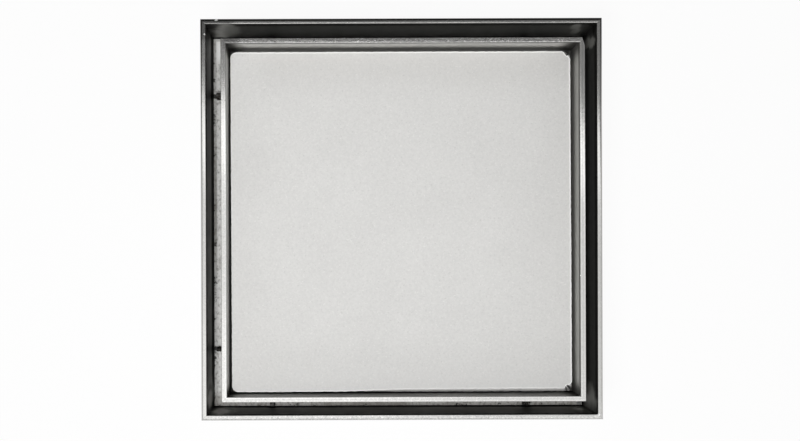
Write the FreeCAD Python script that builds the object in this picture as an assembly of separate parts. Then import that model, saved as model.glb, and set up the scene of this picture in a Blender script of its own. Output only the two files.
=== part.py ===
"""Square tile-in shower drain: a welded flat-bar frame over a pressed floor, with a loose tile tray in it.

Millimetres, +Z up. The origin is the centre of the outlet pipe's lower end.
"""
import math
import os

import FreeCAD
import Part

Vec = FreeCAD.Vector

# Frame and floor
FRAME_SIDE = 150.0       # outside of the square frame
FRAME_BAR = 2.0          # thickness of the flat bars
FRAME_EASE = 0.9         # rounding of the bars' outer top edge
FRAME_INNER_EASE = 0.2   # rounding of the bars' inner top edge
INNER_DEPTH = 26.0       # from the rim down to the floor
FLOOR_SHEET = 2.0        # thickness of the pressed floor
FLOOR_SEAM = 0.2         # open seam between the floor's edge and the bars
LEDGE = 18.0             # flat margin from the bars to the dish, at mid side
DISH_DEPTH = 6.0         # fall from the ledge to the seat round the outlet
DISH_BEND = 4.0          # bend radius at both ends of the dish's slope

# Outlet pipe
SPIGOT_OUTSIDE = 50.0    # outside diameter
SPIGOT_WALL = 1.5
SPIGOT_LENGTH = 40.0     # below the floor's seat
SPIGOT_LEAD = 0.8        # chamfer at the lower end, for entering a socket

# Hair strainer
SEAT_WIDTH = 7.0         # flat ring round the outlet
STRAINER_PLAY = 1.5      # room between the strainer's rim and the edge of the seat
STRAINER_FLANGE = 4.0    # width of its flat rim
STRAINER_SHEET = 1.0
STRAINER_RISE = 3.0      # height of its raised middle
STRAINER_SLOPE = 6.0     # width of the sloping wall round the middle
HOLE_RINGS = 2           # rings of holes round the middle one
HOLE_WEB = 3.0           # metal left between rings
HOLE_MARGIN = 0.5        # flat left outside the last ring

# Tile tray
WATER_SLOT = 5.0         # slot between frame and tray, with the tray centred
TRAY_BAR = 2.0
TRAY_EASE = 0.25         # rounding of both top edges
TRAY_SHEET = 1.5         # thickness of the tray's base
TRAY_SHIFT = Vec(0.6, -0.2, 0.0)  # how far off centre the loose tray lies
DRESSED_BACK = 1.2       # ground off the back right corner's weld, along the back bar
DRESSED_SIDE = 3.5       # the same along the right bar
TILE_RECESS = 10.0       # from the rim down to the bed
BED_THICKNESS = 6.0
BED_GAP = 1.0            # gap between the bed and the bars
BED_CORNER = 3.0         # corner radius

# Feet under the tray
FOOT_INSET = 18.0        # from the tray's corner to a foot's middle
FOOT_WIDTH = 3.0
FOOT_ROOT = 6.0          # length under the tray
FOOT_PLAY = 0.2          # room left at the narrowest slot
FOOT_ROUND = 4.0         # rounding of the outer top corner

# Levels
SEAT_TOP = SPIGOT_LENGTH + FLOOR_SHEET
FLOOR_TOP = SEAT_TOP + DISH_DEPTH
FRAME_FOOT = FLOOR_TOP - FLOOR_SHEET
RIM = FLOOR_TOP + INNER_DEPTH
BED_TOP = RIM - TILE_RECESS
BED_FOOT = BED_TOP - BED_THICKNESS
TRAY_FOOT = BED_FOOT - TRAY_SHEET

# Widths
FRAME_CLEAR = FRAME_SIDE - 2 * FRAME_BAR
TRAY_SIDE = FRAME_CLEAR - 2 * WATER_SLOT
TRAY_CLEAR = TRAY_SIDE - 2 * TRAY_BAR
OUTLET_RADIUS = SPIGOT_OUTSIDE / 2 - SPIGOT_WALL
SEAT_RADIUS = OUTLET_RADIUS + SEAT_WIDTH
DISH_RADIUS = FRAME_CLEAR / 2 - LEDGE
FOOT_REACH = WATER_SLOT - max(abs(TRAY_SHIFT.x), abs(TRAY_SHIFT.y)) - FOOT_PLAY

SIDES = ("front", "right", "back", "left")
UP = Vec(0, 0, 1)


def polygon_wire(points):
    """Closed wire through the points."""
    return Part.makePolygon(points + points[:1])


def arc_edge(centre, radius, start_deg, end_deg, place):
    """Arc in a section plane; place turns the section's two coordinates into a point."""
    angles = (start_deg, (start_deg + end_deg) / 2, end_deg)
    points = []
    for angle in angles:
        turn = math.radians(angle)
        points.append(place(centre[0] + radius * math.cos(turn), centre[1] + radius * math.sin(turn)))
    return Part.Arc(*points).toShape()


def line_edges(points):
    """Straight edges from each point to the next."""
    return [Part.makeLine(a, b) for a, b in zip(points, points[1:])]


def square_plate(side, thickness, foot, corner=0.0):
    """Square plate centred on the axis, with rounded upright corners if corner is set."""
    plate = Part.makeBox(side, side, thickness, Vec(-side / 2, -side / 2, foot))
    if corner > 0:
        upright = [e for e in plate.Edges if abs(e.tangentAt(e.FirstParameter).z) > 0.99]
        plate = plate.makeFillet(corner, upright)
    return plate


def mitred_bars(side, bar, foot, rim, outer_ease, inner_ease):
    """Four flat bars on edge round a square, mitred at the corners, in the order of SIDES."""
    outer = -side / 2
    inner = outer + bar
    outer_ease = min(outer_ease, 0.6 * bar)
    inner_ease = min(inner_ease, 0.3 * bar)

    def section(y, z):
        return Vec(-side / 2, y, z)

    edges = line_edges([section(outer, rim - outer_ease), section(outer, foot), section(inner, foot),
                        section(inner, rim - inner_ease)])
    edges.append(arc_edge((inner - inner_ease, rim - inner_ease), inner_ease, 0, 90, section))
    edges += line_edges([section(inner - inner_ease, rim), section(outer + outer_ease, rim)])
    edges.append(arc_edge((outer + outer_ease, rim - outer_ease), outer_ease, 90, 180, section))
    length = Part.Face(Part.Wire(edges)).extrude(Vec(side, 0, 0))
    mitre = Part.Face(polygon_wire([Vec(outer, outer, foot), Vec(-outer, outer, foot),
                                    Vec(-inner, inner, foot), Vec(inner, inner, foot)]))
    front = length.common(mitre.extrude(Vec(0, 0, rim - foot)))
    bars = []
    for turn in range(len(SIDES)):
        one = front.copy()
        one.rotate(Vec(), UP, 90.0 * turn)
        bars.append(one.Solids[0])
    return bars


def bent_line(points, radius):
    """Edges along a line of points, with each inner corner rounded by an arc tangent to both runs."""
    if radius == 0:
        return line_edges(points)
    edges = []
    start = points[0]
    for before, corner, after in zip(points, points[1:], points[2:]):
        back = (before - corner).normalize()
        ahead = (after - corner).normalize()
        half = back.getAngle(ahead) / 2
        enter = corner + back * (radius / math.tan(half))
        leave = corner + ahead * (radius / math.tan(half))
        middle = corner + (back + ahead).normalize() * (radius / math.sin(half) - radius)
        edges += [Part.makeLine(start, enter), Part.Arc(enter, middle, leave).toShape()]
        start = leave
    edges.append(Part.makeLine(start, points[-1]))
    return edges


def pressed_disc(points, thickness, bend=0.0):
    """Round sheet whose upper face is a line from its rim inwards, bent at its corners, turned about the axis."""
    drop = Vec(0, 0, -thickness)
    lower_points = [p + drop for p in points]
    edges = bent_line(points, bend) + bent_line(lower_points, bend)
    edges += [Part.makeLine(points[0], lower_points[0]), Part.makeLine(points[-1], lower_points[-1])]
    return Part.Face(Part.Wire(Part.__sortEdges__(edges))).revolve(Vec(), UP, 360)


def pressed_floor():
    """Square floor sheet whose middle is pressed down in a shallow cone to the seat round the outlet."""
    side = FRAME_CLEAR - 2 * FLOOR_SEAM
    rim_radius = DISH_RADIUS + DISH_BEND
    dish = pressed_disc([Vec(rim_radius, 0, FLOOR_TOP), Vec(DISH_RADIUS, 0, FLOOR_TOP),
                         Vec(SEAT_RADIUS, 0, SEAT_TOP), Vec(OUTLET_RADIUS, 0, SEAT_TOP)],
                        FLOOR_SHEET, DISH_BEND)
    ledge = square_plate(side, FLOOR_SHEET, FRAME_FOOT)
    ledge = ledge.cut(Part.makeCylinder(rim_radius, FLOOR_SHEET, Vec(0, 0, FRAME_FOOT)))
    return ledge.fuse(dish).removeSplitter().Solids[0]


def outlet_spigot():
    """Plain pipe under the seat, chamfered at its lower end."""
    outside = Part.makeCylinder(SPIGOT_OUTSIDE / 2, SPIGOT_LENGTH)
    lower_rim = [e for e in outside.Edges if e.Length > 1 and e.BoundBox.ZMax < SPIGOT_LEAD]
    lead = min(SPIGOT_LEAD, 0.6 * SPIGOT_WALL)
    outside = outside.makeChamfer(lead, lower_rim)
    return outside.cut(Part.makeCylinder(OUTLET_RADIUS, SPIGOT_LENGTH))


def hair_strainer():
    """Sheet disc with a flat rim and a raised flat middle, pierced by rings of round holes."""
    rim_radius = SEAT_RADIUS - STRAINER_PLAY
    wall_radius = rim_radius - STRAINER_FLANGE
    middle_radius = wall_radius - STRAINER_SLOPE
    low = SEAT_TOP + STRAINER_SHEET
    high = low + STRAINER_RISE
    disc = pressed_disc([Vec(rim_radius, 0, low), Vec(wall_radius, 0, low),
                         Vec(middle_radius, 0, high), Vec(0, 0, high)], STRAINER_SHEET)
    hole_radius = (middle_radius - HOLE_MARGIN - HOLE_RINGS * HOLE_WEB) / (2 * HOLE_RINGS + 1)
    pitch = 2 * hole_radius + HOLE_WEB
    drills = []
    for ring in range(HOLE_RINGS + 1):
        count = max(1, 6 * ring)
        for index in range(count):
            angle = 2 * math.pi * index / count
            foot = Vec(ring * pitch * math.cos(angle), ring * pitch * math.sin(angle), SEAT_TOP)
            drills.append(Part.makeCylinder(hole_radius, high - SEAT_TOP, foot))
    return disc.cut(Part.makeCompound(drills)).Solids[0]


def tray_feet():
    """Eight upright fins under the tray, two to a side, reaching out to keep it clear of the frame."""
    height = TRAY_FOOT - FLOOR_TOP
    outer = -TRAY_SIDE / 2 - FOOT_REACH
    inner = -TRAY_SIDE / 2 + FOOT_ROOT
    ease = min(FOOT_ROUND, 0.6 * height, 0.9 * FOOT_REACH)

    def section(y, z):
        return Vec(-FOOT_WIDTH / 2, y, FLOOR_TOP + z)

    edges = line_edges([section(outer, height - ease), section(outer, 0), section(inner, 0),
                        section(inner, height), section(outer + ease, height)])
    edges.append(arc_edge((outer + ease, height - ease), ease, 90, 180, section))
    fin = Part.Face(Part.Wire(edges)).extrude(Vec(FOOT_WIDTH, 0, 0))
    along = TRAY_SIDE / 2 - FOOT_INSET
    feet = []
    for turn in range(len(SIDES)):
        for offset in (-along, along):
            foot = fin.copy()
            foot.translate(Vec(offset, 0, 0))
            foot.rotate(Vec(), UP, 90.0 * turn)
            feet.append(foot)
    return Part.makeCompound(feet)


def tray_parts():
    """Named pieces of the loose tray, moved together to where it lies."""
    pieces = {}
    half = TRAY_SIDE / 2
    dressed = Part.Face(polygon_wire([Vec(half, half, TRAY_FOOT), Vec(half - DRESSED_BACK, half, TRAY_FOOT),
                                      Vec(half, half - DRESSED_SIDE, TRAY_FOOT)]))
    dressed = dressed.extrude(Vec(0, 0, RIM - TRAY_FOOT))
    bars = mitred_bars(TRAY_SIDE, TRAY_BAR, TRAY_FOOT, RIM, TRAY_EASE, TRAY_EASE)
    for side, bar in zip(SIDES, bars):
        pieces["tray_bar_" + side] = bar.cut(dressed).Solids[0]
    pieces["tray_base"] = square_plate(TRAY_CLEAR, TRAY_SHEET, TRAY_FOOT)
    pieces["tile_bed"] = square_plate(TRAY_CLEAR - 2 * BED_GAP, BED_THICKNESS, BED_FOOT, BED_CORNER)
    pieces["tray_feet"] = tray_feet()
    for shape in pieces.values():
        shape.translate(TRAY_SHIFT)
    return pieces


def all_parts():
    """Every piece of the drain by its node's name."""
    pieces = {}
    bars = mitred_bars(FRAME_SIDE, FRAME_BAR, FRAME_FOOT, RIM, FRAME_EASE, FRAME_INNER_EASE)
    for side, bar in zip(SIDES, bars):
        pieces["frame_bar_" + side] = bar
    pieces["floor_plate"] = pressed_floor()
    pieces["outlet_spigot"] = outlet_spigot()
    pieces["hair_strainer"] = hair_strainer()
    pieces.update(tray_parts())
    return pieces


def main():
    os.makedirs("parts", exist_ok=True)
    for name, shape in all_parts().items():
        shape.exportStep(os.path.join("parts", name + ".step"))


main()
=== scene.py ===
"""Square tile-in shower drain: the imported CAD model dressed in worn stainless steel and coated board.

Laid out as an add-on and run as a script. Lengths are metres, in the frame of the CAD model. The materials
count in millimetres of Object coordinates, so that a pattern stays on its piece from every side.
"""
import math

import bmesh
import bpy
from bpy.props import FloatProperty, FloatVectorProperty, IntProperty, PointerProperty
from mathutils import Euler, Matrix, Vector, noise


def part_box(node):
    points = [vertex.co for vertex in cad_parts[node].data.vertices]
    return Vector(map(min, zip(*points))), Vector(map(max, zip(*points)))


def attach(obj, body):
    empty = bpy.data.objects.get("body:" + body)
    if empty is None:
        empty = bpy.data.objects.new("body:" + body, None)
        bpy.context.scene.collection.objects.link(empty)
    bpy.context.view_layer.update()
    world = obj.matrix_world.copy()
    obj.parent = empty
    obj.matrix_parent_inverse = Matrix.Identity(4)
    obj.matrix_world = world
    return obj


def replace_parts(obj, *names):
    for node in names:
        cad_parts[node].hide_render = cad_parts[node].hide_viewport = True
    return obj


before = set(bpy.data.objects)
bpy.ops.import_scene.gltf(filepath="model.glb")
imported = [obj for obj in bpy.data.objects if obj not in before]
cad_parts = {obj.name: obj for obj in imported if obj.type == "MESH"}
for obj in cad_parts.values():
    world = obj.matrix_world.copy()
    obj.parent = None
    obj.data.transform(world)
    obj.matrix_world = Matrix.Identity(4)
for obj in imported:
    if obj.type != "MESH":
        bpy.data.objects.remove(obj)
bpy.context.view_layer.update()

bl_info = {
    "name": "Square shower drain",
    "version": (1, 0, 0),
    "blender": (4, 5, 0),
    "location": "View3D > Sidebar > Drain",
    "description": "Dresses the drain's frame, floor, tray and board, and sets them on a white studio floor",
    "category": "Object",
}

MM = 0.001
SIDES = ("front", "right", "back", "left")
FRAME_BARS = ["frame_bar_" + side for side in SIDES]
TRAY_BARS = ["tray_bar_" + side for side in SIDES]

# Levels and middles from the frame
FLOOR_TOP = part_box("floor_plate")[1].z
FLOOR_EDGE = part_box("floor_plate")[1].x
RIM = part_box("frame_bar_front")[1].z
WALL = -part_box("frame_bar_front")[1].y
TRAY_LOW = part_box("tray_bar_front")[0]
TRAY_HIGH = Vector((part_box("tray_bar_front")[1].x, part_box("tray_bar_back")[1].y, RIM))
TRAY_MIDDLE = (TRAY_LOW + TRAY_HIGH) / 2
BED_LOW, BED_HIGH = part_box("tile_bed")
FEET_LOW, FEET_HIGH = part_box("tray_feet")
SPIGOT_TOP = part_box("outlet_spigot")[1]

# From the middle of a side to a foot, in millimetres, and how far off a foot may lie, in metres
FOOT_PLACE = 50.0
FOOT_WANDER = 0.5 * MM

# Which part of the noise the chips in the board are taken from
CHIP_SHIFT = Vector((729.6, 216.9, 0.0)) * MM

# The photograph's frame, with its principal point and focal length in its own pixels
IMAGE_WIDTH, IMAGE_HEIGHT = 800, 441
PRINCIPAL_PX = (333.9, 263.6)
FOCAL_PX = 1080.8
SENSOR = 36.0

WHITE = (1.0, 1.0, 1.0)


def colour(name, description, default):
    """A colour that a user may change."""
    return FloatVectorProperty(name=name, description=description, subtype="COLOR", size=3,
                               min=0.0, max=1.0, default=default)


def length(name, description, default):
    """A length that a user may change, in metres."""
    return FloatProperty(name=name, description=description, unit="LENGTH", precision=5, default=default)


def angle(name, description, default):
    """An angle that a user may change, in radians."""
    return FloatProperty(name=name, description=description, subtype="ANGLE", default=default)


class DrainSizes(bpy.types.PropertyGroup):
    """Sizes of the dressed details."""

    board_corner: length("Board corner", "Corner radius of the tile board", 2.4 * MM)
    board_edge: length("Board edge", "Width of the rubbed edge of the tile board", 0.36 * MM)
    board_wedge: length("Board wedge", "How far the board's front edge is cut back on the right", 0.85 * MM)
    board_skew: length("Board skew", "How far the board's back edge is cut back at its right end", 0.28 * MM)
    board_over: length("Board oversize", "How far the board is cut larger than its bed all round", 0.04 * MM)
    board_x: length("Board X", "How far the board lies off its bed's middle across the drain", -0.175 * MM)
    board_y: length("Board Y", "How far the board lies off its bed's middle along the drain", -0.22 * MM)
    board_crush: length("Board crush", "Leg of the crushed corners on the right", 3.0 * MM)
    board_turn: angle("Board turn", "How far the board lies out of square in the tray", 0.0025)
    board_chip: length("Board chip", "Depth of the chips at the crushed corners", 0.9 * MM)
    foot_width: length("Foot width", "Width of a foot before burning thins it", 3.0 * MM)
    foot_round: length("Foot rounding", "Rounding of a foot's outer top corner", 4.0 * MM)
    foot_root: length("Foot root", "Length of a foot under the tray", 6.0 * MM)
    foot_spacing: length("Foot spacing", "Distance between the two feet on a side", 2 * FOOT_PLACE * MM)
    foot_rough: length("Foot roughness", "How far the burnt surface of a foot is eaten back", 0.6 * MM)
    bead_radius: length("Bead radius", "Radius of a weld bead's ripples", 0.8 * MM)
    bead_pitch: length("Bead pitch", "Distance between ripples", 0.9 * MM)
    seed: IntProperty(name="Seed", description="Seed of what is random on feet and beads", default=1888)


class DrainColours(bpy.types.PropertyGroup):
    """Colours of the finishes."""

    frame_steel: colour("Frame steel", "Ground stainless bars of the frame", (0.56, 0.556, 0.542))
    tray_steel: colour("Tray steel", "Ground stainless bars of the tray", (0.66, 0.655, 0.64))
    floor_steel: colour("Floor steel", "Dull mill finish of floor and outlet", (0.80, 0.795, 0.775))
    dull_film_and_shade: colour("Dull wall", "Dull film on the inner faces of the bars", (0.08, 0.081, 0.077))
    stain_and_shade: colour("Stain", "Brownish water stain on the floor", (0.20, 0.185, 0.16))
    haze_and_reflection: colour("Haze", "Pale patches on the inner faces of the frame", (0.32, 0.32, 0.30))
    dirt_and_shade: colour("Dirt", "Black dirt in seams and crevices", (0.012, 0.012, 0.011))
    heat: colour("Heat tint", "Straw tint beside the welds", (0.46, 0.41, 0.31))
    burnt: colour("Burnt steel", "Burnt scale on the feet", (0.16, 0.145, 0.125))
    board: colour("Board", "Coated face of the tile board", (0.68, 0.675, 0.66))
    pale_lip_and_highlight: colour("Board lip", "Rubbed edge of the board", (0.93, 0.925, 0.91))
    board_core: colour("Board core", "Cut side of the board", (0.19, 0.186, 0.177))
    floor: colour("Studio floor", "Pale floor under the drain", (0.92, 0.92, 0.92))


class DrainStudio(bpy.types.PropertyGroup):
    """Camera and light."""

    camera_height: length("Camera height", "Height of the camera above the rim", 0.403)
    camera_x: length("Camera X", "Place of the camera across the drain", -0.02535)
    camera_y: length("Camera Y", "Place of the camera along the drain", -0.0165)
    camera_turn: angle("Camera turn", "Turn of the camera about its axis", -0.0033)
    key_height: length("Key height", "Height of the key lamp above the rim", 0.48)
    key_x: length("Key X", "Place of the key lamp across the drain", -0.075)
    key_y: length("Key Y", "Place of the key lamp along the drain", -0.075)
    key_size: length("Key size", "Side of the square key lamp", 0.08)
    key_level: FloatProperty(name="Key level", description="Light of the key lamp on the board, 1 is full",
                             default=0.80)
    box_height: length("Softbox height", "Height of the softbox above the rim", 1.0)
    box_turn: angle("Softbox turn", "Turn of the softbox's back edge", -0.064)


class Val:
    """A value in a node tree. Arithmetic with numbers or other values adds Math nodes."""

    def __init__(self, tree, socket):
        self.tree = tree
        self.socket = socket

    def out(self, name):
        """Another output of the node that this value comes from."""
        return Val(self.tree, self.socket.node.outputs[name])

    def math(self, operation, first, second=0.0):
        return self.tree.node("ShaderNodeMath", {"operation": operation}, {0: first, 1: second})

    def __add__(self, other):
        return self.math("ADD", self, other)

    def __radd__(self, other):
        return self.math("ADD", other, self)

    def __sub__(self, other):
        return self.math("SUBTRACT", self, other)

    def __rsub__(self, other):
        return self.math("SUBTRACT", other, self)

    def __mul__(self, other):
        return self.math("MULTIPLY", self, other)

    def __rmul__(self, other):
        return self.math("MULTIPLY", other, self)

    def __truediv__(self, other):
        return self.math("DIVIDE", self, other)

    def __rtruediv__(self, other):
        return self.math("DIVIDE", other, self)

    def __mod__(self, other):
        return self.math("FLOORED_MODULO", self, other)

    def __abs__(self):
        return self.math("ABSOLUTE", self)

    def __gt__(self, other):
        return self.math("GREATER_THAN", self, other)

    def floor(self):
        return self.math("FLOOR", self)

    def most(self, other):
        return self.math("MAXIMUM", self, other)

    def least(self, other):
        return self.math("MINIMUM", self, other)

    def rise(self, low, high):
        """Smooth step from 0 at low to 1 at high; low may be the larger."""
        return self.tree.node("ShaderNodeMapRange", {"interpolation_type": "SMOOTHSTEP"},
                              {"Value": self, "From Min": low, "From Max": high})


class Tree:
    """A node tree being built. node() adds any node, and the other methods are short forms of it."""

    def __init__(self, node_tree):
        self.nodes = node_tree.nodes
        self.links = node_tree.links

    def node(self, kind, settings=None, sockets=None, output=0):
        """Adds a node, sets its settings, then fills its sockets with numbers or links. Gives one output."""
        made = self.nodes.new(kind)
        for key, value in (settings or {}).items():
            setattr(made, key, value)
        for key, value in (sockets or {}).items():
            if isinstance(value, Val):
                self.links.new(value.socket, made.inputs[key])
            else:
                made.inputs[key].default_value = value
        return Val(self, made.outputs[output]) if made.outputs else None

    def split(self, vector):
        """The three parts of a vector."""
        x = self.node("ShaderNodeSeparateXYZ", sockets={0: vector})
        return x, x.out("Y"), x.out("Z")

    def join(self, x, y, z):
        """A vector from its three parts."""
        return self.node("ShaderNodeCombineXYZ", sockets={0: x, 1: y, 2: z})

    def vector(self, operation, first, second=(0.0, 0.0, 0.0), output=0):
        return self.node("ShaderNodeVectorMath", {"operation": operation}, {0: first, 1: second}, output)

    def grain(self, vector, size, detail=2.0, roughness=0.5):
        """Noise of 0 to 1 with features of the given size."""
        return self.node("ShaderNodeTexNoise", sockets={
            "Vector": vector, "Scale": 1.0 / size, "Detail": detail, "Roughness": roughness})

    def blend(self, factor, first, second):
        """Colour between two colours."""
        sockets = {0: factor, 6: rgba(first), 7: rgba(second)}
        return self.node("ShaderNodeMix", {"data_type": "RGBA"}, sockets, 2)


def rgba(shade):
    """A colour's four numbers; a value in a tree stays as it is."""
    return shade if isinstance(shade, Val) else (*shade, 1.0)


def tinted(shade, factor):
    """A colour made darker or paler, no paler than white."""
    return [min(1.0, part * factor) for part in shade]


class Finish:
    """A new material: its tree, millimetre coordinates from a middle, and one closing call."""

    def __init__(self, name, middle=(0.0, 0.0, 0.0)):
        self.material = bpy.data.materials.new(name)
        self.material.use_nodes = True
        self.material.node_tree.nodes.clear()
        self.tree = Tree(self.material.node_tree)
        place = self.tree.node("ShaderNodeTexCoord", output="Object")
        place = self.tree.vector("SUBTRACT", place, tuple(middle))
        self.place = self.tree.vector("MULTIPLY", place, (1 / MM, 1 / MM, 1 / MM))
        self.x, self.y, self.z = self.tree.split(self.place)

    def close(self, shade, roughness, metallic, height, depth, specular=0.5, cover=None):
        """Feeds the surface and gives the material. depth is the height's scale in millimetres.

        cover is a matt layer, such as dirt or painted shade: how much of the surface it hides, and its
        colour.
        """
        tree = self.tree
        normal = tree.node("ShaderNodeBump", sockets={
            "Strength": 1.0, "Distance": depth * MM, "Height": height})
        surface = tree.node("ShaderNodeBsdfPrincipled",
                            sockets={"Base Color": rgba(shade), "Roughness": roughness, "Metallic": metallic,
                                     "Normal": normal, "Specular IOR Level": specular})
        if cover:
            hidden, tone = cover
            matt = tree.node("ShaderNodeBsdfPrincipled",
                             sockets={"Base Color": rgba(tone), "Roughness": 1.0, "Specular IOR Level": 0.0})
            surface = tree.node("ShaderNodeMixShader", sockets={0: hidden, 1: surface, 2: matt})
        tree.node("ShaderNodeOutputMaterial", sockets={"Surface": surface})
        return self.material


def spot(finish, where, radius, height=0.0):
    """Soft mask of 1 at a place in millimetres, ragged by noise, that falls to 0 at the radius.

    height is how far it reaches up and down, where that isn't the radius too.
    """
    tree = finish.tree
    away = tree.vector("SUBTRACT", finish.place, where)
    away = tree.vector("MULTIPLY", away, (1.0, 1.0, radius / (height or radius)))
    away = tree.vector("LENGTH", away, output="Value")
    ragged = (tree.grain(finish.place, radius * 0.6) - 0.5) * radius * 0.6
    return (away + ragged).rise(radius, radius * 0.4)


def spots(finish, places):
    """Mask of several spots."""
    mask = finish.x * 0.0
    for place in places:
        mask = mask.most(spot(finish, *place))
    return mask


def bar_steel(name, shade, colours, middle, inner, *, dirt_and_shade, stands, share, film_and_shade, side_shade, bloom, grain, groove,
              crown, crown_at, corner_shade_reach, rim_shade_depth, back_edge_reflection=0.0, foot_shade=0.0, pale_reflections=(), gleams=(), shades=(), nicks_and_glints=(),
              dark_reflection_spots=()):
    """Stainless of four mitred bars on edge: ground along the rims, dull inside, welded at the mitres, with
    painted shade, highlights and reflections on the rims and inner faces.

    inner is half the clear width between the bars. Everything else tells how they are worn and where light
    and shade
    are painted on them, and where it is a list of four, it has a number for each bar in the order of SIDES:
    dirt_and_shade: how black the darkening at the foot of the inner faces is, and the levels at which it is
    full and ends
    stands, share: how much higher that darkening stands, and how much of it there is
    film_and_shade, side_shade, bloom: share of the inner faces that a dull film hides, partly as painted
    shade of the deep slots, how much darker it is as painted shade, and how much paler it is
    grain, groove: how rough the rims are ground, and how dark their middle line is
    crown, crown_at: how far the rims are rounded across, and how far out the crown lies
    corner_shade_reach: how far the painted shade of the inner corners reaches, the same for all
    rim_shade_depth: how far down the painted shade under the rims reaches
    back_edge_reflection: how black the outer edges are towards the back, as painted dark reflection
    foot_shade: how much higher the darkening at the foot stands beside the feet on the left and in front, as
    painted shade and reflection of the feet
    pale_reflections, gleams, shades: places, radii and heights of pale and bright painted reflections and of
    dark painted shadows on the inner faces
    nicks_and_glints, dark_reflection_spots: places and radii of bright nicks and painted glints, and of
    painted dark reflections in the rims
    """
    finish = Finish(name, middle)
    tree = finish.tree
    x, y, z = finish.x, finish.y, finish.z
    upright = abs(x) > abs(y)
    crosswise = 1 - upright
    along = upright * y + crosswise * x
    across = upright * x + crosswise * y
    far_side = across > 0.0
    near_side = 1 - far_side
    back = crosswise * far_side
    bars = (crosswise * near_side, upright * far_side, back, upright * near_side)

    def by_bar(numbers):
        return sum(bar * number for bar, number in zip(bars, numbers))

    brush = tree.grain(tree.join(along / 22, across / 0.28, z / 0.28), 1.0, 3.0, 0.6)
    streak = tree.grain(tree.join(along / 70, across / 0.8, z / 2.2), 1.0, 2.0)
    sparkle = tree.grain(tree.join(along / 0.75, across / 0.55, z / 0.55), 1.0, 2.0, 0.7)
    cloud = tree.grain(finish.place, 9.0, 3.0)
    top = RIM / MM
    reach = abs(x).most(abs(y)) - inner
    rim = z.rise(top - 0.5 - reach.rise(0.2, 0.6) * 0.8, top - 0.15)
    inside = reach.rise(0.5, 0.2) * (1 - rim)
    ease = reach.rise(0.22, 0.1) * rim
    # Painted highlight along the inner edge of the rims of the left and front bars
    edge_highlight = reach.rise(0.75, 0.45) * rim * (1 - ease) * near_side
    middle_line = abs(reach - 1.0).rise(0.5, 0.15) * rim * by_bar(groove)
    towards_back = back + upright * along.rise(35.0, 75.0)
    # Painted dark reflection on the outer rounded edges towards the back
    dark_edge_reflection = (reach + back * 0.25).rise(1.08, 1.45) * rim * towards_back * back_edge_reflection
    depth = by_bar(rim_shade_depth)
    # Painted shade on the inner faces just under the rims
    under_rim_shade = inside * (top - z).rise(depth, depth * 0.4)
    from_mitre = abs(abs(x) - abs(y)) * math.sqrt(0.5)
    seam = from_mitre.rise(0.14, 0.03)
    tint = (from_mitre + (cloud - 0.5) * 8).rise(6.0, 0.5) * (1 - rim)
    ragged = (tree.grain(finish.place, 1.6, 3.0) - 0.5) * 1.2
    # Painted shade and reflection of the feet: the darkening at the foot stands higher beside them
    at_foot = abs(abs(along) - FOOT_PLACE).rise(2.4, 0.8) * near_side * foot_shade
    black, full, end = dirt_and_shade
    # Darker towards the foot of the inner faces, higher where stands and the feet say
    foot_darkening = (z + ragged - at_foot - by_bar(stands)).rise(end, full) * inside * by_bar(share)
    # Painted shade in the inner corners
    corner = (from_mitre + (cloud - 0.5) * corner_shade_reach * 0.5).rise(corner_shade_reach, corner_shade_reach * 0.1) * inside
    # Dark patches on the inner faces: painted shadow
    shaded = spots(finish, shades) * inside
    # Pale patches on the inner faces: painted reflections of the bright floor plate
    pale_reflection = spots(finish, pale_reflections) * inside * (1 - corner * 0.7) * (1 - shaded)
    # Bright patches on the inner faces: painted reflections
    gleam = spots(finish, gleams) * inside
    # Bright spots in the rims: a nick and painted glints
    nick_and_glint = spots(finish, nicks_and_glints) * rim
    # Dark patches in the rims: painted dark reflection
    stain_and_shade = spots(finish, dark_reflection_spots) * rim

    base = tree.blend(streak * 0.7 + cloud * 0.3, tinted(shade, 0.82), tinted(shade, 1.1))
    base = tree.blend(tint * 0.15, base, colours.heat)
    grit = rim * by_bar(grain)
    base = tree.blend((sparkle.rise(0.52, 0.75) * grit * 0.6).least(1.0), base, tinted(shade, 1.35))
    base = tree.blend((sparkle.rise(0.48, 0.28) * grit * 0.6).least(1.0), base, tinted(shade, 0.65))
    # Painted highlight on those inner edges
    base = tree.blend(edge_highlight * 0.2, base, tinted(shade, 1.4))
    base = tree.blend((seam * 0.25).most(middle_line), base, tinted(shade, 0.35))
    # Painted dark reflection darkens the rims' steel in those patches
    base = tree.blend(stain_and_shade * 0.7, base, tinted(shade, 0.3))
    roughness = 0.1 + cloud * 0.05 + (1 - rim) * 0.12 + inside * 0.15
    off_crown = reach - by_bar(crown_at)
    bulge = off_crown * off_crown * rim * crown
    height = brush * (1 - inside * 0.6) + grit * sparkle - seam * 0.5 - bulge
    # A dull film over the inner faces, partly painted shade of the deep slots
    dull_and_shaded = inside * (by_bar(film_and_shade) - cloud * 0.25)
    # The matt cover turns black with the darkening at the foot, the painted shade under the rims, in the
    # inner corners, on the frame's right wall and in dark patches, and the painted dark reflection on the
    # outer edges
    dark = foot_darkening.most(under_rim_shade * 0.9).most(corner * 0.8).most(by_bar(side_shade)).most(dark_edge_reflection).most(shaded)
    # The matt cover also hides part of the inner rounded edge of the rims, as painted shade there
    hidden = dull_and_shaded.most(foot_darkening * black).most(under_rim_shade * 0.9).most(ease * 0.4).most(corner * 0.85)
    patches = pale_reflection.most(shaded).most(gleam)
    hidden = hidden.most(dark_edge_reflection * 0.95).most(patches * 0.9).most(nick_and_glint * 0.75)
    tone = tree.blend(by_bar(bloom), colours.dull_film_and_shade, colours.haze_and_reflection)
    tone = tree.blend(dark, tone, colours.dirt_and_shade)
    # Pale patches: painted reflections
    tone = tree.blend(pale_reflection * 0.9, tone, colours.haze_and_reflection)
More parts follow.
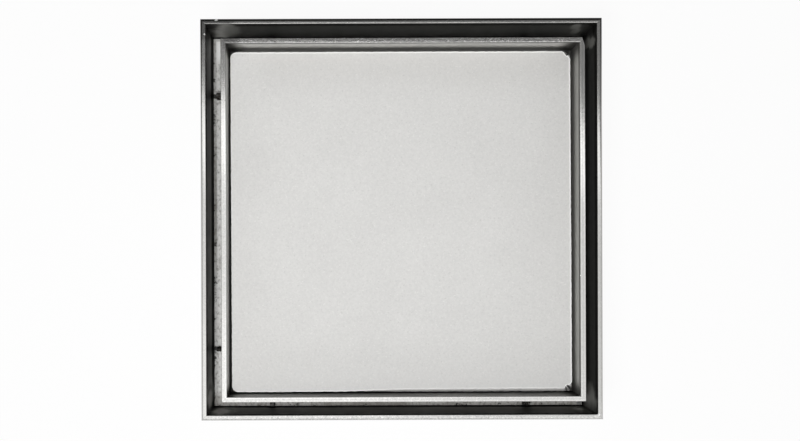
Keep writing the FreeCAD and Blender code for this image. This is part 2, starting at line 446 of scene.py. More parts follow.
    # Bright patches take the floor steel's colour as painted reflections of the floor plate
    tone = tree.blend(gleam, tone, colours.floor_steel)
    # Pale at the nick and the painted glints
    tone = tree.blend(nick_and_glint, tone, colours.pale_lip_and_highlight)
    return finish.close(base, roughness, 1.0, height, 0.012, cover=(hidden, tone))


def floor_steel(colours):
    """Dull mill finish with brownish water stains, black dirt along the seams and scratches, painted shade
    along the left wall's foot and on the front ledge, and burn marks with painted shadow beside the feet.
    """
    finish = Finish("floor_steel")
    tree = finish.tree
    x, y, z = finish.x, finish.y, finish.z
    mill = tree.grain(tree.join(x / 0.5, y / 6, z / 0.5), 1.0, 3.0)
    patch = tree.grain(finish.place, 5.0, 4.0, 0.6)
    blot = tree.grain(finish.place, 1.7, 3.0, 0.65)
    from_edge = FLOOR_EDGE / MM - abs(x).most(abs(y))
    ragged = (tree.grain(finish.place, 1.3, 3.0) - 0.5) * 0.6
    mottle = tree.grain(tree.join(x / 1.0, y / 1.6, z), 1.0, 3.0, 0.6)
    left_slot, front_ledge_shade = x.rise(-60.0, -68.0), y.rise(-66.0, -70.0)
    # Painted shade along the foot of the left wall on the floor
    wall_foot_shade = (from_edge + ragged * 0.8).rise(1.35, 0.9) * left_slot
    wall_foot_shade = wall_foot_shade * (0.1 + y.rise(-35.0, 0.0) * (0.3 + y.rise(42.0, 18.0) * 0.6))
    crust = tree.grain(finish.place, 2.6, 4.0, 0.7)
    specks = (crust - from_edge * 0.07).rise(0.55, 0.61) * from_edge.rise(2.2, 0.3)
    corner, level = WALL / MM, FLOOR_TOP / MM
    stain_and_shade = patch.rise(0.5, 0.7) * 0.3 + blot.rise(0.58, 0.74) * 0.25 + mottle.rise(0.5, 0.68) * 0.45
    stain_and_shade = stain_and_shade + wall_foot_shade * 0.6
    # Painted shade on the front ledge, from the tray's front bar, with a wide darker spot on it
    stain_and_shade = stain_and_shade + spot(finish, (-13.0, -corner + 2.0, level), 24.0) * 0.2 + front_ledge_shade * 0.5
    in_slot = z.rise(level - 1.5, level - 0.5)
    stain_and_shade = stain_and_shade * (0.08 + in_slot * 0.92)
    beside = abs(abs(x).least(abs(y)) - FOOT_PLACE)
    # Burn marks beside the feet, with painted shadow round them
    scorch_and_shadow = (beside + ragged * 2.0).rise(1.1, 0.6) * from_edge.rise(8.0, 6.0)
    chalk = spot(finish, (2.6 - corner, corner - 5.0, level), 6.5) * from_edge.rise(0.8, 1.2)
    chip = spot(finish, (corner - 1.2, 1.2 - corner, level), 1.4)
    base = tree.blend(mill * 0.5 + mottle.rise(0.7, 0.3) * in_slot * 0.5, tinted(colours.floor_steel, 0.9),
                      tinted(colours.floor_steel, 1.18))
    base = tree.blend(stain_and_shade.least(0.85), base, colours.stain_and_shade)
    base = tree.blend((chalk * 0.9).most(chip), base, colours.pale_lip_and_highlight)
    roughness = (0.45 + mill * 0.1 + stain_and_shade * 0.15) * (1 - chip * 0.4)
    height = mill * 0.4 + (blot + mottle) * (0.1 + in_slot * 0.5)
    metallic = ((0.25 - stain_and_shade * 0.1) * (1 - chalk)).most(chip)
    return finish.close(base, roughness, metallic, height, 0.02,
                        cover=((scorch_and_shadow * 0.92).most(specks * 0.85) * (1 - chip), colours.dirt_and_shade))


def strainer_steel(colours):
    """Satin stainless, turned in fine rings, with limescale round the holes."""
    finish = Finish("strainer_steel")
    tree = finish.tree
    x, y, z = finish.x, finish.y, finish.z
    radius = tree.vector("LENGTH", tree.join(x, y, 0.0), output="Value")
    turned = tree.grain(tree.join(radius / 0.3, z / 0.3, 0.0), 1.0, 2.0)
    scale = tree.grain(finish.place, 3.0, 4.0, 0.65).rise(0.5, 0.75)
    base = tree.blend(turned, tinted(colours.frame_steel, 0.85), tinted(colours.frame_steel, 1.05))
    base = tree.blend(scale * 0.5, base, colours.stain_and_shade)
    roughness = 0.25 + turned * 0.12 + scale * 0.25
    return finish.close(base, roughness, 1.0 - scale * 0.3, turned + scale * 0.5, 0.01)


def burnt_steel(colours):
    """Burnt, rough scale on the feet, black with a few greyer streaks, and a little greyer along the middle
    of each fin as painted light on its top.
    """
    finish = Finish("burnt_steel")
    tree = finish.tree
    lump = tree.grain(finish.place, 0.9, 4.0, 0.65)
    fine = tree.grain(finish.place, 0.25, 3.0, 0.6)
    streak = tree.grain(tree.join(finish.x / 4.0, finish.y / 4.0, finish.z / 1.5), 1.0, 2.0)
    flank = tree.node("ShaderNodeAttribute", {"attribute_name": "flank"}, output="Fac")
    # Greyer streaks, and a little greyer along the middle of each fin as painted light on its top
    greyer = (streak.rise(0.53, 0.64) * 0.5).most((flank + (lump - 0.5) * 1.2).rise(0.5, 0.2) * 0.08)
    base = tree.blend(lump.rise(0.35, 0.7), tinted(colours.burnt, 0.08), tinted(colours.burnt, 0.4))
    base = tree.blend(greyer, base, tinted(colours.tray_steel, 0.5))
    base = tree.blend(fine.rise(0.62, 0.75) * 0.4, base, tinted(colours.tray_steel, 0.6))
    return finish.close(base, 0.5 + lump * 0.3, greyer * 0.3, lump * 0.7 + fine * 0.3, 0.12, 0.0)


def weld_steel(colours):
    """Weld metal: bright ripples with straw and brown oxide between them."""
    finish = Finish("weld_steel")
    tree = finish.tree
    oxide = tree.grain(finish.place, 1.1, 3.0, 0.6)
    fine = tree.grain(finish.place, 0.2, 2.0)
    base = tree.blend(oxide.rise(0.35, 0.65), colours.frame_steel, colours.heat)
    base = tree.blend(oxide.rise(0.62, 0.78) * 0.8, base, colours.burnt)
    return finish.close(base, 0.22 + oxide * 0.25, 1.0 - oxide * 0.2, fine, 0.01)


def board_coat(colours):
    """Matt coated board: sand grain with light and dark specks, a paler lip and a rough cut side, with
    painted shade near the back and left edges and in the pits of the crushed corners, and painted light along
    the front edge.
    """
    finish = Finish("board_coat", (BED_LOW + BED_HIGH) / 2)
    tree = finish.tree
    sand = tree.grain(finish.place, 0.85, 2.0, 0.6)
    fine = tree.grain(finish.place, 0.16, 2.0)
    cloud = tree.grain(finish.place, 22.0, 3.0)
    dark_shift, light_shift = (31.0, 7.0, 0.0), (5.0, 83.0, 0.0)
    dark = tree.grain(tree.vector("ADD", finish.place, dark_shift), 0.75, 1.0).rise(0.36, 0.25)
    light = tree.grain(tree.vector("ADD", finish.place, light_shift), 0.7, 1.0).rise(0.66, 0.76)
    lip = tree.node("ShaderNodeAttribute", {"attribute_name": "lip"}, output="Fac")
    core = tree.node("ShaderNodeAttribute", {"attribute_name": "core"}, output="Fac")
    pit_shade = tree.node("ShaderNodeAttribute", {"attribute_name": "pit_shade"}, output="Fac")
    tone = 0.5 + (sand - 0.5) * 0.9 + (cloud - 0.5) * 0.4 - dark * 0.5 + light * 0.5
    base = tree.blend(tone, tinted(colours.board, 0.88), tinted(colours.board, 1.12))
    half = (BED_HIGH.x - BED_LOW.x) / 2 / MM
    # Painted shade near the back and left edges
    edge_shade = (finish.y + (cloud - 0.5) * 10).rise(half - 22, half) * finish.x.rise(-half, 20 - half)
    # Painted light along the front edge
    front_light = (finish.y + (cloud - 0.5) * 8).rise(14 - half, -half)
    base = tree.blend(edge_shade * 0.17, base, colours.stain_and_shade)
    base = tree.blend(front_light * 0.2, base, colours.pale_lip_and_highlight)
    base = tree.blend(lip, base, colours.pale_lip_and_highlight)
    base = tree.blend(core * (0.75 + (sand - 0.5) * 0.6), base, colours.board_core)
    # Painted shade in the pits of the crushed corners
    base = tree.blend(pit_shade * 0.9, base, colours.dirt_and_shade)
    return finish.close(base, 0.72 + sand * 0.2, 0.0, sand * 0.7 + fine * 0.3 + core * sand, 0.03, 0.3)


def dress(node_names, material):
    """Gives CAD nodes a material through their own slots."""
    for name in node_names:
        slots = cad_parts[name].data.materials
        if slots:
            slots[0] = material
        else:
            slots.append(material)


def add_piece(name, mesh):
    """A finished piece at the origin, riding on the drain."""
    piece = bpy.data.objects.new(name, mesh)
    bpy.context.scene.collection.objects.link(piece)
    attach(piece, "root")
    return piece


def grown_mesh(name, node_group, values):
    """Plain mesh that a geometry tree gives for these input values."""
    holder = bpy.data.objects.new(name, bpy.data.meshes.new(name + "_seed"))
    bpy.context.scene.collection.objects.link(holder)
    modifier = holder.modifiers.new(name, "NODES")
    modifier.node_group = node_group
    for item in node_group.interface.items_tree:
        if item.in_out == "INPUT":
            modifier[item.identifier] = values[item.name]
    evaluated = holder.evaluated_get(bpy.context.evaluated_depsgraph_get())
    mesh = bpy.data.meshes.new_from_object(evaluated)
    mesh.name = name
    bpy.data.objects.remove(holder)
    return mesh


def geometry_tree(name, inputs):
    """A new geometry tree with named inputs, as its Tree, its inputs by name, and a closing call."""
    group = bpy.data.node_groups.new(name, "GeometryNodeTree")
    for label, kind in inputs.items():
        group.interface.new_socket(name=label, in_out="INPUT", socket_type="NodeSocket" + kind)
    group.interface.new_socket(name="Geometry", in_out="OUTPUT", socket_type="NodeSocketGeometry")
    tree = Tree(group)
    source = group.nodes.new("NodeGroupInput")
    values = {label: Val(tree, source.outputs[label]) for label in inputs}

    def close(geometry):
        solid = tree.node("GeometryNodeRealizeInstances", sockets={"Geometry": geometry})
        dressed = tree.node("GeometryNodeSetMaterial", sockets={
            "Geometry": solid, "Material": values["Material"]})
        tree.node("NodeGroupOutput", sockets={"Geometry": dressed})
        return group

    return tree, values, close


def feet_tree():
    """Eight upright fins, two to a side, each rounded at its outer top corner and eaten by burning."""
    tree, given, close = geometry_tree("tray_feet", {
        "Width": "Float", "Height": "Float", "Reach": "Float", "Root": "Float", "Round": "Float",
        "Spacing": "Float", "Tray half": "Float", "Foot level": "Float", "Middle": "Vector", "Rough": "Float",
        "Seed": "Int", "Material": "Material"})
    span = given["Reach"] + given["Root"]
    fin = tree.node("GeometryNodeMeshCube", sockets={
        "Size": tree.join(given["Width"], span, given["Height"]), "Vertices X": 9, "Vertices Y": 31,
        "Vertices Z": 25})
    fin = tree.node("GeometryNodeTransform", sockets={
        "Geometry": fin, "Translation": tree.join(0.0, given["Root"] - span / 2, given["Height"] / 2)})

    x, y, z = tree.split(tree.node("GeometryNodeInputPosition"))
    fin = tree.node("GeometryNodeStoreNamedAttribute", {"data_type": "FLOAT", "domain": "POINT"}, {
        "Geometry": fin, "Name": "flank", "Value": abs(x) * 2 / given["Width"]})
    ease = given["Round"]
    outward = ((ease - given["Reach"] - y) / ease).most(0.0)
    upward = ((z - given["Height"] + ease) / ease).most(0.0)
    reach = outward.most(upward)
    turn = reach / tree.vector("LENGTH", tree.join(outward, upward, 0.0), output="Value").most(0.0001)
    slack = (1 - turn) * (reach > 0.0)
    eased = tree.join(0.0, ease * outward * slack, 0 - ease * upward * slack)
    fin = tree.node("GeometryNodeSetPosition", sockets={"Geometry": fin, "Offset": eased})

    index = tree.node("GeometryNodeInputIndex")
    side = (index / 2).floor()
    quarter = side * (math.pi / 2)
    wander = tree.node("FunctionNodeRandomValue", {"data_type": "FLOAT"},
                       {2: -FOOT_WANDER, 3: FOOT_WANDER, "Seed": given["Seed"] + 1}, 1)
    offset = ((index % 2) - 0.5) * given["Spacing"] + wander
    turned = tree.node("ShaderNodeVectorRotate", {"rotation_type": "Z_AXIS"}, {
        "Vector": tree.join(offset, 0 - given["Tray half"], given["Foot level"]), "Angle": quarter})
    points = tree.node("GeometryNodePoints", sockets={
        "Count": 2 * len(SIDES), "Position": tree.vector("ADD", turned, given["Middle"])})
    thinnest, thickest = 0.35, 0.65
    width = tree.node("FunctionNodeRandomValue", {"data_type": "FLOAT"},
                      {2: thinnest, 3: thickest, "Seed": given["Seed"]}, 1)
    feet = tree.node("GeometryNodeInstanceOnPoints", sockets={
        "Points": points, "Instance": fin, "Rotation": tree.join(0.0, 0.0, quarter),
        "Scale": tree.join(width, 1.0, 1.0)})
    feet = tree.node("GeometryNodeRealizeInstances", sockets={"Geometry": feet})

    here = tree.node("GeometryNodeInputPosition")
    eaten = tree.grain(here, 1.2 * MM, 3.0, 0.65).rise(0.38, 0.7)
    _, _, level = tree.split(here)
    standing = level.rise(FLOOR_TOP, FLOOR_TOP + MM)
    inward = tree.vector("MULTIPLY", tree.node("GeometryNodeInputNormal"), (-1.0, -1.0, -1.0))
    bite = tree.node("ShaderNodeVectorMath", {"operation": "SCALE"},
                     {0: inward, "Scale": eaten * standing * given["Rough"]})
    feet = tree.node("GeometryNodeSetPosition", sockets={"Geometry": feet, "Offset": bite})
    return close(feet)


def bead_tree(name, path):
    """Ripples of weld metal laid along a closed path, in stitches. path(tree, given) gives the curve."""
    tree, given, close = geometry_tree(name, {
        "Reach": "Float", "Level": "Float", "Radius": "Float", "Pitch": "Float", "Stitches": "Float",
        "Bare": "Float", "Seed": "Int", "Material": "Material"})
    laid = tree.node("GeometryNodeCurveToPoints", {"mode": "LENGTH"}, {
        "Curve": path(tree, given), "Length": given["Pitch"]})
    ripple = tree.node("GeometryNodeMeshIcoSphere", sockets={"Radius": given["Radius"], "Subdivisions": 2})
    smallest, largest, flatness = 0.8, 1.1, 0.8
    swell = tree.node("FunctionNodeRandomValue", {"data_type": "FLOAT"},
                      {2: smallest, 3: largest, "Seed": given["Seed"]}, 1)
    index = tree.node("GeometryNodeInputIndex")
    laid_here = (((index + 0.5) * given["Pitch"]) % given["Stitches"]) > given["Stitches"] * given["Bare"]
    beads = tree.node("GeometryNodeInstanceOnPoints", sockets={
        "Points": laid, "Selection": laid_here, "Instance": ripple, "Rotation": laid.out("Rotation"),
        "Scale": tree.join(swell, swell, swell * flatness)})
    return close(beads)


def square_path(tree, given):
    """Square outline at a level, reaching the given distance from the axis."""
    curve = tree.node("GeometryNodeCurvePrimitiveQuadrilateral", {"mode": "RECTANGLE"}, {
        "Width": given["Reach"] * 2, "Height": given["Reach"] * 2})
    return tree.node("GeometryNodeTransform", sockets={
        "Geometry": curve, "Translation": tree.join(0.0, 0.0, given["Level"])})


def round_path(tree, given):
    """Circle at a level, of the given radius."""
    curve = tree.node("GeometryNodeCurvePrimitiveCircle", {"mode": "RADIUS"}, {
        "Resolution": 96, "Radius": given["Reach"]})
    return tree.node("GeometryNodeTransform", sockets={
        "Geometry": curve, "Translation": tree.join(0.0, 0.0, given["Level"])})


def rounded_square(half, corner, spacing):
    """Points round a square with rounded corners, each with its outward direction, anticlockwise."""
    outline = []
    straight = half - corner
    run_steps = max(2, round(2 * straight / spacing))
    arc_steps = max(4, round(corner * math.pi / 2 / spacing) * 2)
    for quarter in range(4):
        turn = quarter * math.pi / 2
        diagonal = Vector((math.cos(turn + math.pi / 4), math.sin(turn + math.pi / 4), 0.0))
        knee = diagonal * straight * math.sqrt(2)
        for step in range(arc_steps):
            heading = turn + math.pi / 2 * step / arc_steps
            out = Vector((math.cos(heading), math.sin(heading), 0.0))
            outline.append((knee + out * corner, out))
        out = Vector((math.cos(turn + math.pi / 2), math.sin(turn + math.pi / 2), 0.0))
        back = Vector((out.y, -out.x, 0.0))
        for step in range(run_steps):
            outline.append((out * half + back * straight * (1 - 2 * step / run_steps), out))
    return outline


def crushed(point, half, leg):
    """Where a point on a square's outline comes to lie when its corner is cut off with the given leg."""
    beyond = abs(point.x) + abs(point.y) - 2 * half + leg
    if beyond <= 0:
        return point
    return point - Vector((math.copysign(beyond / 2, point.x), math.copysign(beyond / 2, point.y), 0.0))


def board_mesh(sizes):
    """Tile board with a wavy cut edge, a paler lip, crushed right corners with their pits marked for painted
    shade, and a front edge out of square.
    """
    half = (BED_HIGH.x - BED_LOW.x) / 2
    middle = (BED_LOW + BED_HIGH) / 2 + Vector((sizes.board_x, sizes.board_y, 0.0))
    lip = sizes.board_edge
    top = BED_HIGH.z
    spacing = 0.4 * MM  # of the points round the outline
    fine_wave, long_wave = 1.7 * MM, 17 * MM  # of the cut edge
    chip_grain, crumb_grain = 0.75 * MM, 0.45 * MM
    worn_depth = 0.25 * MM  # of crushing that makes a corner fully worn
    spread = 0.55 * MM  # of the lower corners on the right, beyond the upper ones
    bend_start, bend_run = -25 * MM, 28 * MM  # where the front edge starts to turn, and over what length
    # The crumbs in the back corner are paler than in the front, partly as painted light on a face turned from
    # the key lamp
    back_crumbs, front_crumbs = 0.7, 0.15  # how pale the crumbs are in the back and front corners
    rings = [
        # level, inset, share of the wedge, share of the crushing, lip, core
        (BED_LOW.z, 0.0, -0.6, 0.0, 0.0, 1.0),
        (top - 5.0 * lip, 0.0, -0.5, 0.1, 0.0, 0.65),
        (top - 1.6 * lip, 0.0, 0.4, 0.35, 0.0, 0.4),
        (top - 0.5 * lip, 0.1 * lip, 0.95, 0.7, 0.8, 0.2),
        (top - 0.15 * lip, 0.3 * lip, 1.0, 0.95, 1.0, 0.0),
        (top, 0.8 * lip, 1.0, 1.0, 1.0, 0.0),
        (top, 1.5 * lip, 1.0, 1.0, 0.4, 0.0),
        (top, 2.0 * lip, 1.0, 1.0, 0.0, 0.0),
    ]
    turn = Euler((0.0, 0.0, sizes.board_turn))
    outline = rounded_square(half + sizes.board_over, sizes.board_corner, spacing)
    mesh = bmesh.new()
    lip_layer = mesh.verts.layers.float.new("lip")
    core_layer = mesh.verts.layers.float.new("core")
    pit_shade_layer = mesh.verts.layers.float.new("pit_shade")
    loops = []
    for level, inset, wedge_share, crush_share, lip_share, core_share in rings:
        loop = []
        for point, out in outline:
            wave = 0.45 * lip * noise.noise(point / fine_wave) + 0.25 * lip * noise.noise(point / long_wave)
            rounder = crushed(point, half, sizes.board_crush) if point.x > 0 else point
            worn = min(1.0, (point - rounder).length / worn_depth)
            chip = noise.noise((point + CHIP_SHIFT) / chip_grain)
            notch = min(1.0, max(0.0, 4.0 * chip - 0.1)) * worn
            crumb = 0.5 + noise.noise((point + Vector((0, 0, level))) / crumb_grain)
            squarer = spread * (1.0 - crush_share) * abs(2.0 * out.x * out.y) * (point.x > 0)
            along = min(1.0, max(0.0, (point.x - bend_start) / bend_run))
            bent = along * along * (3 - 2 * along) * (0.85 + 0.15 * point.x / half)
            wedge = sizes.board_wedge * max(0.0, -out.y) * bent
            skew = sizes.board_skew * max(0.0, out.y) * (0.5 + 0.5 * point.x / half)
            below_lip = wedge_share < 0.9
            gouge = notch * sizes.board_chip * 4.0 * crush_share * (1.0 - crush_share)
            pulled = inset + abs(wave) + skew + wedge_share * wedge + gouge - squarer
            place = point.lerp(rounder, crush_share) - out * pulled
            place.rotate(turn)
            vert = mesh.verts.new(middle.xy.to_3d() + place + Vector((0, 0, level)))
            # The lip is paler on the right edge and less so on the left
            pale_edge = lip_share ** (1.0 - 0.9 * max(0.0, out.x))
            pale = back_crumbs if point.y > 0 else front_crumbs
            fragment = worn * below_lip * min(1.0, max(0.0, 2.0 * crumb - 1.0)) * pale
            vert[lip_layer] = max(pale_edge * (1.0 - 0.8 * max(0.0, -out.x)), fragment)
            vert[core_layer] = max(core_share, 0.8 * worn * below_lip) * (1.0 - fragment)
            # Dark in the hollows of the crushed corners: painted shade
            hollow = min(1.0, max(notch, worn * (0.85 - crumb)))
            vert[pit_shade_layer] = hollow * (crush_share < 0.9) * (1.0 - fragment)
            loop.append(vert)
        loops.append(loop)
    for lower, upper in zip(loops, loops[1:]):
        for index in range(len(outline)):
            ahead = (index + 1) % len(outline)
            mesh.faces.new((lower[index], lower[ahead], upper[ahead], upper[index]))
    mesh.faces.new(loops[-1])
    mesh.faces.new(reversed(loops[0]))
    made = bpy.data.meshes.new("tile_board")
    mesh.to_mesh(made)
    mesh.free()
    return made


class DRAIN_OT_frame(bpy.types.Operator):
    """Dress the four bars of the frame."""

    bl_idname = "drain.frame"
    bl_label = "Frame bars"

    def execute(self, context):
        colours = context.scene.drain_colours
        wall, level = WALL / MM, RIM / MM
        # Each patch has a place and a radius, and on the inner faces a height
        # Pale patches: painted reflections of the bright floor plate
        pale_reflections = [
            ((-wall + 6.5, wall, level - 12), 7.0, 18.0),
            ((wall - 6.3, wall, level - 7), 2.4, 6.5),
            ((wall - 4.4, wall, level - 15), 2.4, 6.5),
            ((wall, wall - 5.8, level - 8), 2.8, 6.5),
            ((wall, wall - 4.4, level - 15), 2.8, 6.5),
            ((wall, -wall + 3, level - 13), 8.5, 14.0),
            ((-wall, -wall + 6, level - 11), 9.0, 16.0),
            ((-wall + 6, -wall, level - 14), 6.0, 12.0),
        ]
        # Bright patches: painted reflections
        gleams = [
            ((-wall, 5.0 - wall, level - 12), 4.5, 9.0),
            ((4.4 - wall, -wall, level - 11), 4.5, 9.0),
            ((wall - 3.9, -wall, level - 15), 2.4, 5.0),
        ]
        # Dark patches at the back corners: painted shadow
        shades = [((-wall, wall, level), 8.0, 18.0), ((wall, wall, level), 6.0, 14.0)]
        # Bright spots in the rims: a nick and painted glints
        nicks_and_glints = [
            ((-wall - 0.3, wall - 3.8, level), 0.5),
            ((-wall + 4.1, wall + 1.8, level), 0.8),
            ((wall + 0.3, -wall - 0.2, level), 0.9),
        ]
        # Dark patches in the rims at the back left: painted dark reflection
        dark_reflection_spots = [((-wall + 4.0, wall + 1.2, level), 9.5), ((-wall - 1.0, wall - 2.0, level), 5.0)]
        foot = FLOOR_TOP / MM
        # The frame's right wall is made darker as painted shade
        steel = bar_steel("frame_steel", colours.frame_steel, colours, (0, 0, 0), wall,
                          dirt_and_shade=(0.97, foot + 3.5, foot + 9.0), stands=(-0.5, -3.0, -2.5, 3.0),
                          share=(1, 1, 1, 1), film_and_shade=(0.85, 1.1, 0.85, 0.85),
                          side_shade=(0, 0.3, 0, 0), bloom=(0.06, 0, 0.07, 0),
                          grain=(1.5, 0.5, 0.9, 0.5), groove=(0.0, 0.08, 0.0, 0.0), crown=5.5,
                          crown_at=(0.75, 0.75, 0.62, 0.75), corner_shade_reach=4.0, rim_shade_depth=(5.0, 6.5, 6.5, 6.5),
                          back_edge_reflection=1.0, foot_shade=0.8, pale_reflections=pale_reflections, gleams=gleams, shades=shades,
                          nicks_and_glints=nicks_and_glints, dark_reflection_spots=dark_reflection_spots)
        dress(FRAME_BARS, steel)
        return {"FINISHED"}


class DRAIN_OT_floor(bpy.types.Operator):
    """Dress the floor, the outlet pipe and the hair strainer."""

    bl_idname = "drain.floor"
    bl_label = "Floor, outlet and strainer"

    def execute(self, context):
        colours = context.scene.drain_colours
        dress(["floor_plate", "outlet_spigot"], floor_steel(colours))
        dress(["hair_strainer"], strainer_steel(colours))
        return {"FINISHED"}


class DRAIN_OT_tray(bpy.types.Operator):
    """Dress the bars and the base of the tile tray."""

    bl_idname = "drain.tray"
    bl_label = "Tray bars and base"

    def execute(self, context):
        colours = context.scene.drain_colours
        middle = (TRAY_MIDDLE.x, TRAY_MIDDLE.y, 0.0)
        inner = (TRAY_MIDDLE.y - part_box("tray_bar_front")[1].y) / MM
        bed = BED_HIGH.z / MM
        # The dark patch at the back left of the tray's rim is painted dark reflection
        steel = bar_steel("tray_steel", colours.tray_steel, colours, middle, inner,
                          dirt_and_shade=(0.85, bed - 5.5, bed - 1.5), stands=(2.0, -1.0, -2.0, 0.0),
                          share=(1.0, 0.1, 0.5, 1.0), film_and_shade=(0.8, 0.65, 0.12, 0.5),
                          side_shade=(0, 0, 0, 0), bloom=(0, 0.8, 0, 0),
                          grain=(0.75, 0.5, 2.2, 0.5), groove=(0.12, 0.2, 0.0, 0.0), crown=1.0,
                          crown_at=(0.75, 0.75, 0.75, 0.75), corner_shade_reach=5.5, rim_shade_depth=(0.01, 3.6, 2.0, 0.01),
                          dark_reflection_spots=[((-inner + 1.5, inner + 1, RIM / MM), 4.5)])
        dress(TRAY_BARS + ["tray_base"], steel)
        return {"FINISHED"}


class DRAIN_OT_feet(bpy.types.Operator):
    """Build the eight burnt feet under the tray."""

    bl_idname = "drain.feet"
    bl_label = "Tray feet"

    def execute(self, context):
        sizes = context.scene.drain_sizes
        mesh = grown_mesh("tray_feet_burnt", feet_tree(), {
            "Width": sizes.foot_width,
            "Height": FEET_HIGH.z - FEET_LOW.z,
            "Reach": TRAY_LOW.x - FEET_LOW.x,
            "Root": sizes.foot_root,
            "Round": sizes.foot_round,
            "Spacing": sizes.foot_spacing,
            "Tray half": (TRAY_HIGH.x - TRAY_LOW.x) / 2,
            "Foot level": FEET_LOW.z,
            "Middle": (TRAY_MIDDLE.x, TRAY_MIDDLE.y, 0.0),
            "Rough": sizes.foot_rough,
            "Seed": sizes.seed,
            "Material": burnt_steel(context.scene.drain_colours),
        })
        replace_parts(add_piece("tray_feet_burnt", mesh), "tray_feet")
        return {"FINISHED"}


class DRAIN_OT_board(bpy.types.Operator):
    """Build the tile board."""

    bl_idname = "drain.board"
    bl_label = "Tile board"

    def execute(self, context):
        mesh = board_mesh(context.scene.drain_sizes)
        mesh.materials.append(board_coat(context.scene.drain_colours))
        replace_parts(add_piece("tile_board", mesh), "tile_bed")
        return {"FINISHED"}


class DRAIN_OT_welds(bpy.types.Operator):
    """Lay the weld beads under the floor and round the outlet pipe."""

    bl_idname = "drain.welds"
    bl_label = "Weld beads"

    def execute(self, context):
        sizes = context.scene.drain_sizes
        material = weld_steel(context.scene.drain_colours)
        frame_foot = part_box("frame_bar_front")[0].z
        runs = {
            # path, reach, level, length from stitch to stitch, share of it left bare, radius
            "floor_weld": (square_path, FLOOR_EDGE, frame_foot, 34 * MM, 0.35, sizes.bead_radius),
            "outlet_weld": (round_path, SPIGOT_TOP.x, SPIGOT_TOP.z, 1000 * MM, 0.0, 0.75 * sizes.bead_radius),
        }
        for name, (path, reach, level, stitches, bare, radius) in runs.items():
            mesh = grown_mesh(name, bead_tree(name, path), {
                "Reach": reach, "Level": level, "Radius": radius, "Pitch": sizes.bead_pitch,
                "Stitches": stitches, "Bare": bare, "Seed": sizes.seed, "Material": material})
            add_piece(name, mesh)
        return {"FINISHED"}


class DRAIN_OT_stage(bpy.types.Operator):
    """Set the white floor, the lamps, the studio's surroundings and the camera."""

    bl_idname = "drain.stage"
    bl_label = "Studio"

    def execute(self, context):
        studio = context.scene.drain_studio
        lay_floor(context.scene.drain_colours.floor)
        hang_lamps(studio)
        light_surroundings(context.scene)
        place_camera(context.scene, studio)
        context.scene.view_settings.view_transform = "Standard"
        return {"FINISHED"}


def lay_floor(shade):
    """Wide pale floor at the foot of the outlet pipe, near white to the camera, that keeps a faint shadow."""
    reach = 6.0
    whiteness = 0.93
    mesh = bpy.data.meshes.new("studio_floor")
    mesh.from_pydata([(-reach, -reach, 0), (reach, -reach, 0), (reach, reach, 0), (-reach, reach, 0)], [],
                     [(0, 1, 2, 3)])
    material = bpy.data.materials.new("studio_floor")
    material.use_nodes = True
    material.node_tree.nodes.clear()
    tree = Tree(material.node_tree)
    path = tree.node("ShaderNodeLightPath", output="Is Camera Ray")
    seen = path.most(path.out("Is Glossy Ray")).most(path.out("Is Transmission Ray"))
    pale = tree.node("ShaderNodeBsdfDiffuse", sockets={"Color": rgba(shade)})
    white = tree.node("ShaderNodeEmission", sockets={"Color": rgba(WHITE), "Strength": 1.0})
    surface = tree.node("ShaderNodeMixShader", sockets={0: seen * whiteness, 1: pale, 2: white})
    tree.node("ShaderNodeOutputMaterial", sockets={"Surface": surface})
    mesh.materials.append(material)
    floor = bpy.data.objects.new("studio_floor", mesh)
    bpy.context.scene.collection.objects.link(floor)


def hang_lamp(name, middle, width, depth, radiance, turn=0.0):
    """Flat lamp above the drain, facing down, of an even radiance."""
    light = bpy.data.lights.new(name, "AREA")
    light.shape = "RECTANGLE"
    light.size = width
    light.size_y = depth
    light.energy = radiance * math.pi * width * depth
    lamp = bpy.data.objects.new(name, light)
    lamp.location = middle
    lamp.rotation_euler = (0.0, 0.0, turn)
    bpy.context.scene.collection.objects.link(lamp)
    return lamp


def hang_lamps(studio):
    """Small key lamp for the matt board, and a wide softbox of uneven brightness for the steel to reflect."""
    side = studio.key_size
    radiance = studio.key_level * math.pi * studio.key_height ** 2 / side ** 2
    key = hang_lamp("key", (studio.key_x, studio.key_y, RIM + studio.key_height), side, side, radiance)
    key.visible_glossy = False
    far, back, layer_gap = 1.1, 0.188, 0.01
    parts = {
        # reach in X, reach in Y, radiance that the part adds
        "softbox": ((-far, far), (-far, back), 0.72),
        "softbox_left": ((-far, 0.06), (-far, back), 0.14),
        "softbox_band": ((-far, far), (0.092, back), 0.68),
        "softbox_front": ((-far, 0.12), (-far, -0.09), 0.28),
        "softbox_front_right": ((0.12, far), (-far, -0.185), 0.22),
    }
    for layer, (name, ((x0, x1), (y0, y1), radiance)) in enumerate(parts.items()):
        middle = Vector(((x0 + x1) / 2, (y0 + y1) / 2, RIM + studio.box_height - layer * layer_gap))
        middle.rotate(Euler((0.0, 0.0, studio.box_turn)))
        box = hang_lamp(name, middle, x1 - x0, y1 - y0, radiance, studio.box_turn)
        box.visible_diffuse = False


def light_surroundings(scene):
    """Soft room light: bright in front and low down all round, but dark behind."""
    world = bpy.data.worlds.new("studio_room")
    world.use_nodes = True
    world.node_tree.nodes.clear()
    tree = Tree(world.node_tree)
    x, y, z = tree.split(tree.node("ShaderNodeTexCoord", output="Generated"))
    overhead, front, right, horizon, dark = 0.30, 0.14, 0.02, 0.6, 0.015
    low_down = z.rise(0.72, 0.45)
    behind = y.rise(0.24, 0.36).most(low_down * y.rise(0.04, 0.2))
    ahead = low_down * (1 - y.rise(-0.1, 0.2))
    level = overhead - y * front + x * right - behind * overhead + ahead * horizon
    room = tree.node("ShaderNodeBackground", sockets={"Color": rgba(WHITE), "Strength": level.most(dark)})
    tree.node("ShaderNodeOutputWorld", sockets={"Surface": room})
    scene.world = world


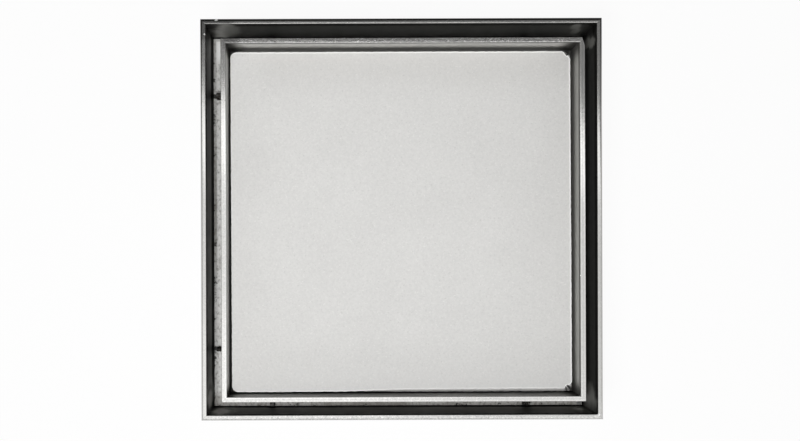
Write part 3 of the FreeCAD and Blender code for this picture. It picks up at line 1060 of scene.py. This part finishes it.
def place_camera(scene, studio):
    """Camera that looks straight down, with the photograph's field of view and off-centre frame."""
    lens = bpy.data.cameras.new("camera")
    lens.sensor_fit = "HORIZONTAL"
    lens.sensor_width = SENSOR
    lens.lens = SENSOR * FOCAL_PX / IMAGE_WIDTH
    lens.shift_x = (IMAGE_WIDTH / 2 - PRINCIPAL_PX[0]) / IMAGE_WIDTH
    lens.shift_y = (PRINCIPAL_PX[1] - IMAGE_HEIGHT / 2) / IMAGE_WIDTH
    lens.clip_start = 0.01
    camera = bpy.data.objects.new("camera", lens)
    camera.location = (studio.camera_x, studio.camera_y, RIM + studio.camera_height)
    camera.rotation_euler = (0.0, 0.0, studio.camera_turn)
    scene.collection.objects.link(camera)
    scene.camera = camera


class DRAIN_PT_panel(bpy.types.Panel):
    """Lists the pieces of the drain."""

    bl_idname = "DRAIN_PT_panel"
    bl_label = "Shower drain"
    bl_space_type = "VIEW_3D"
    bl_region_type = "UI"
    bl_category = "Drain"

    def draw(self, context):
        for operator in OPERATORS:
            self.layout.operator(operator.bl_idname)
        for group in (context.scene.drain_sizes, context.scene.drain_colours, context.scene.drain_studio):
            for name in group.__annotations__:
                self.layout.prop(group, name)


GROUPS = {"drain_sizes": DrainSizes, "drain_colours": DrainColours, "drain_studio": DrainStudio}
OPERATORS = (DRAIN_OT_frame, DRAIN_OT_floor, DRAIN_OT_tray, DRAIN_OT_feet, DRAIN_OT_board, DRAIN_OT_welds,
             DRAIN_OT_stage)
CLASSES = (*GROUPS.values(), *OPERATORS, DRAIN_PT_panel)


def register():
    for cls in CLASSES:
        bpy.utils.register_class(cls)
    for name, group in GROUPS.items():
        setattr(bpy.types.Scene, name, PointerProperty(type=group))


def unregister():
    for name in GROUPS:
        delattr(bpy.types.Scene, name)
    for cls in reversed(CLASSES):
        bpy.utils.unregister_class(cls)


def main():
    """Builds every piece in order."""
    register()
    bpy.ops.drain.frame()
    bpy.ops.drain.floor()
    bpy.ops.drain.tray()
    bpy.ops.drain.feet()
    bpy.ops.drain.board()
    bpy.ops.drain.welds()
    bpy.ops.drain.stage()


if __name__ == "__main__":
    main()
